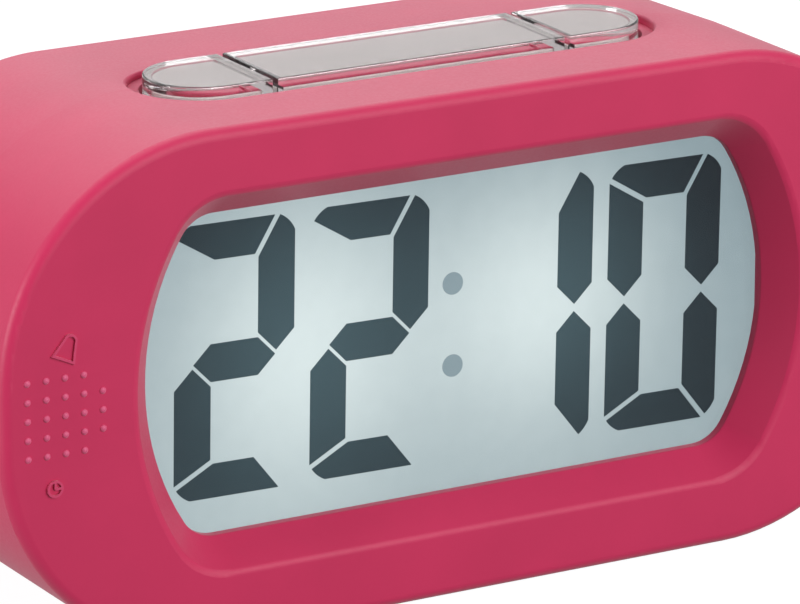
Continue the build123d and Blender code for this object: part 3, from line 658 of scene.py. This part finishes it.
@dataclass
class SoftSkin(SubAssembly):
    """The silicone sleeve with its dot pad, and the web that stretches between them."""

    finishes: Mapping[str, Finish] = field(
        default_factory=lambda: {"silicone_sleeve": SILICONE, "set_pad": SILICONE, "set_key": WHITE_ABS}
    )
    strips: int = 8
    crease_deg: float = 40.0

    def build(self) -> None:
        """Makes one mitred piece of web for each side of the pad."""
        for side in Side:
            self.web_piece(side)

    def web_piece(self, side: Side) -> bpy.types.Object:
        """Makes the web along one side of the pad.

        Args:
            side: which side of the pad.

        Returns:
            The new piece, which meets the sleeve at its outer edge and the pad at its inner edge.
        """
        outer_low, outer_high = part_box("set_web")
        inner_low, inner_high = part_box("set_pad")
        front, rear = outer_low.y, outer_high.y
        across_x, across_z = side.value
        mesh = bmesh.new()
        rows = []
        for step in range(self.strips + 1):
            share = step / self.strips
            low = outer_low.lerp(inner_low, share)
            high = outer_high.lerp(inner_high, share)
            if across_x:
                x = low.x if across_x < 0 else high.x
                ends = ((x, low.z), (x, high.z))
            else:
                z = low.z if across_z < 0 else high.z
                ends = ((low.x, z), (high.x, z))
            rows.append([[mesh.verts.new((x, y, z)) for x, z in ends] for y in (front, rear)])
        for before, after in zip(rows, rows[1:]):
            for face in range(2):
                mesh.faces.new((*before[face], *reversed(after[face])))
            for end in range(2):
                mesh.faces.new((before[0][end], after[0][end], after[1][end], before[1][end]))
        for row in (rows[0], rows[-1]):
            mesh.faces.new((*row[0], *reversed(row[1])))
        bmesh.ops.recalc_face_normals(mesh, faces=mesh.faces)
        data = bpy.data.meshes.new(f"set_web_{side.name.lower()}")
        mesh.to_mesh(data)
        mesh.free()
        data.materials.append(SILICONE.material())
        data.shade_smooth()
        data.set_sharp_from_angle(angle=radians(self.crease_deg))
        piece = bpy.data.objects.new(data.name, data)
        bpy.context.scene.collection.objects.link(piece)
        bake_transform(piece)
        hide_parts("set_web")
        LOG.info("%s: %s", piece.name, SILICONE.name)
        return piece


@dataclass
class HardCase(SubAssembly):
    """The two halves of the case inside the sleeve, the battery door and the screws."""

    finishes: Mapping[str, Finish] = field(
        default_factory=lambda: {
            "front_case": CASE_ABS,
            "rear_cover": CASE_ABS,
            "battery_door": CASE_ABS,
            "case_screws": SCREW_STEEL,
        }
    )


@dataclass
class Display(SubAssembly):
    """The lens, the display glass with its segments, and what lights and holds it."""

    finishes: Mapping[str, Finish] = field(
        default_factory=lambda: {
            "display_lens": LENS_ACRYLIC,
            "lcd_panel": PANEL,
            "lcd_digits": SEGMENTS,
            "lcd_colon": COLON,
            "light_diffuser": OPAL,
            "lcd_holder": WHITE_ABS,
            "contact_strips": STRIP_RUBBER,
            "backlight_leds": LED_RESIN,
        }
    )


@dataclass
class KeyRow(SubAssembly):
    """The three clear keys with their inserts, and the switches under them."""

    finishes: Mapping[str, Finish] = field(
        default_factory=lambda: {
            "hour_key": KEY_ACRYLIC,
            "snooze_bar": KEY_ACRYLIC,
            "minute_key": KEY_ACRYLIC,
            "hour_insert": INSERT,
            "snooze_insert": INSERT,
            "minute_insert": INSERT,
            "hour_plunger": PLUNGER,
            "snooze_plungers": PLUNGER,
            "minute_plunger": PLUNGER,
            "key_switches": BLACK_NYLON,
            "key_board": BOARD,
            "key_board_screws": SCREW_STEEL,
        }
    )


@dataclass
class Electronics(SubAssembly):
    """The main board with its parts, the set switch and the sounder."""

    finishes: Mapping[str, Finish] = field(
        default_factory=lambda: {
            "main_board": BOARD,
            "driver_chip": EPOXY,
            "timing_crystal": CAN,
            "capacitors": CAN,
            "board_screws": SCREW_STEEL,
            "board_link": BLACK_NYLON,
            "set_switch": BLACK_NYLON,
            "set_plunger": PLUNGER,
            "buzzer": BLACK_NYLON,
            "lead_positive": RED_WIRE,
            "lead_negative": BLACK_WIRE,
        }
    )


@dataclass
class BatteryBay(SubAssembly):
    """The cells and their contacts."""

    finishes: Mapping[str, Finish] = field(
        default_factory=lambda: {"plate_contacts": SPRING_STEEL, "leaf_contacts": SPRING_STEEL}
    )
    rows: int = 3

    def dress(self) -> None:
        """Gives the contacts their metal, and the cells a film that knows their rows."""
        low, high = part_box("battery_cells")
        thickness = high.y - low.y
        # Film, shrunk on the cells: dark and glossy, with a copper band and a bare cap
        jacket = CellJacket(
            name="cell_film_dark",
            slot="cell_jacket",
            colour="#26272b",
            band="#a8703f",
            cap="#c8c7c2",
            roughness=0.3,
            middle_mm=(low.z + high.z) / 2 / MM,
            pitch_mm=(high.z - low.z - thickness) / (self.rows - 1) / MM,
        )
        self.finishes = {**self.finishes, "battery_cells": jacket}
        super().dress()


@dataclass(frozen=True)
class Lamp:
    """A square soft box that faces the clock, with its sizes in metres."""

    name: str
    place: tuple[float, float, float]
    side: float
    watts: float
    target: tuple[float, float, float] = (0.0, 0.0, 0.03)

    def build(self) -> None:
        """Hangs the lamp."""
        data = bpy.data.lights.new(self.name, "AREA")
        data.size = self.side
        data.energy = self.watts
        lamp = bpy.data.objects.new(self.name, data)
        lamp.location = self.place
        aim = Vector(self.target) - Vector(self.place)
        lamp.rotation_mode = "QUATERNION"
        lamp.rotation_quaternion = aim.to_track_quat("-Z", "Y")
        bpy.context.scene.collection.objects.link(lamp)
        LOG.info("lamp %s", self.name)


@dataclass
class Studio:
    """A pale floor under soft light, and the camera that took the picture."""

    camera_mm: tuple[float, float, float] = (-391.01, -681.17, 273.08)
    forward: tuple[float, float, float] = (0.47861, 0.82814, -0.29175)
    roll_deg: float = 0.08
    focal_px: float = 6078.17
    sensor_mm: float = 36.0
    floor_half_m: float = 6.0
    floor_gap_mm: float = 0.1
    floor_colour: str = "#747476"
    floor_seen: float = 0.95
    sky_seen: float = 1.0
    sky_light: float = 0.1
    mirrored: float = 0.5
    lamps: tuple[Lamp, ...] = (
        Lamp("front_box", place=(0.35, -0.9, 0.45), side=0.85, watts=10.4),
        Lamp("top_box", place=(0.05, 0.45, 0.8), side=1.2, watts=6.6),
        Lamp("left_box", place=(-0.9, 0.06, 0.2), side=0.35, watts=5.8),
    )

    def build(self) -> None:
        """Sets up the light, the floor and the camera."""
        for lamp in self.lamps:
            lamp.build()
        self.sky()
        self.floor()
        self.camera()
        bpy.context.scene.view_settings.view_transform = "Standard"

    def shown(self, tree: bpy.types.NodeTree, seen: float) -> bpy.types.Node:
        """Gives how bright the background shows.

        Args:
            tree: the node tree of the background's piece.
            seen: its brightness where the camera sees it straight.

        Returns:
            The brightness: as seen for the camera, duller in gloss and through clear pieces.
        """
        path = add_node(tree, "ShaderNodeLightPath").outputs
        rays = {0: path["Is Glossy Ray"], 1: path["Is Transmission Ray"]}
        indirect = add_node(tree, "ShaderNodeMath", rays, operation="MAXIMUM")
        dulled = add_node(tree, "ShaderNodeMath", {0: indirect, 1: self.mirrored}, operation="MULTIPLY")
        shares = {0: path["Is Camera Ray"], 1: seen, 2: dulled}
        return add_node(tree, "ShaderNodeMath", shares, operation="MULTIPLY_ADD")

    def sky(self) -> None:
        """Makes a sky that is white where it is seen, and low where it lights."""
        world = bpy.data.worlds.new("studio_sky")
        world.use_nodes = True
        tree = world.node_tree
        tree.nodes.clear()
        shown = self.shown(tree, self.sky_seen)
        level = add_node(tree, "ShaderNodeMath", {0: shown, 1: self.sky_light}, operation="MAXIMUM")
        light = add_node(tree, "ShaderNodeBackground", {"Color": linear("#ffffff"), "Strength": level})
        add_node(tree, "ShaderNodeOutputWorld", {"Surface": light})
        bpy.context.scene.world = world

    def floor(self) -> None:
        """Lays a pale floor, a hair below the clock, that shows white and keeps the clock's shadow."""
        material = bpy.data.materials.new("floor_paper")
        material.use_nodes = True
        tree = material.node_tree
        tree.nodes.clear()
        paper = add_node(tree, "ShaderNodeBsdfDiffuse", {"Color": linear(self.floor_colour)})
        own = add_node(tree, "ShaderNodeEmission", {"Strength": self.shown(tree, self.floor_seen)})
        lit = add_node(tree, "ShaderNodeAddShader", {0: paper, 1: own})
        add_node(tree, "ShaderNodeOutputMaterial", {"Surface": lit})
        mesh = bmesh.new()
        bmesh.ops.create_grid(mesh, x_segments=1, y_segments=1, size=self.floor_half_m)
        data = bpy.data.meshes.new("floor")
        mesh.to_mesh(data)
        mesh.free()
        data.materials.append(material)
        piece = bpy.data.objects.new("floor", data)
        piece.location.z = -self.floor_gap_mm * MM
        bpy.context.scene.collection.objects.link(piece)

    def camera(self) -> None:
        """Puts the camera at the picture's viewing angle."""
        data = bpy.data.cameras.new("camera")
        data.sensor_width = self.sensor_mm
        data.lens = self.focal_px / IMAGE_WIDTH * data.sensor_width
        camera = bpy.data.objects.new("camera", data)
        camera.location = Vector(self.camera_mm) * MM
        aim = Vector(self.forward).to_track_quat("-Z", "Y")
        camera.rotation_mode = "QUATERNION"
        camera.rotation_quaternion = aim @ Quaternion((0.0, 0.0, 1.0), radians(self.roll_deg))
        bpy.context.scene.collection.objects.link(camera)
        bpy.context.scene.camera = camera


def main() -> None:
    """Builds and dresses the clock's sub-assemblies, then the studio."""
    logging.basicConfig(level=logging.INFO, format="%(name)s %(message)s")
    for assembly in (SoftSkin(), HardCase(), Display(), KeyRow(), Electronics(), BatteryBay()):
        assembly.build()
        assembly.dress()
    Studio().build()


if __name__ == "__main__":
    main()
